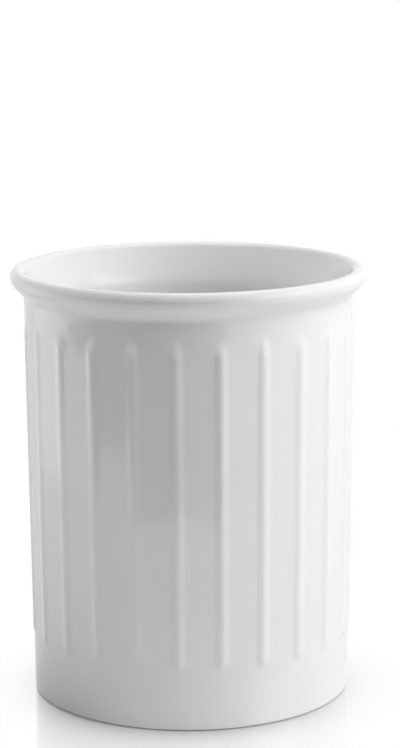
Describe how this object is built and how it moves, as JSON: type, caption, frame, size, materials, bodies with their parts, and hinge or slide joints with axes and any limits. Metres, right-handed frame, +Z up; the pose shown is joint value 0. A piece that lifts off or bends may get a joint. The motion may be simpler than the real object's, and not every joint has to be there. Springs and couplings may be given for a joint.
{
  "type": "utensil crock",
  "caption": "White glazed ceramic utensil crock: a round, slightly tapered body with upright ribs, a rolled lip and a plain ring foot.",
  "frame": {"origin": "centre of the ring foot, on the plane that it stands on", "axes": "+Z up along the crock's axis, -Y towards the front, where a rib faces straight out"},
  "size_m": [0.1506, 0.1506, 0.183],
  "materials": {
    "white_glaze": "gloss"
  },
  "bodies": {
    "root": {"crock": "white_glaze"}
  },
  "joints": []
}
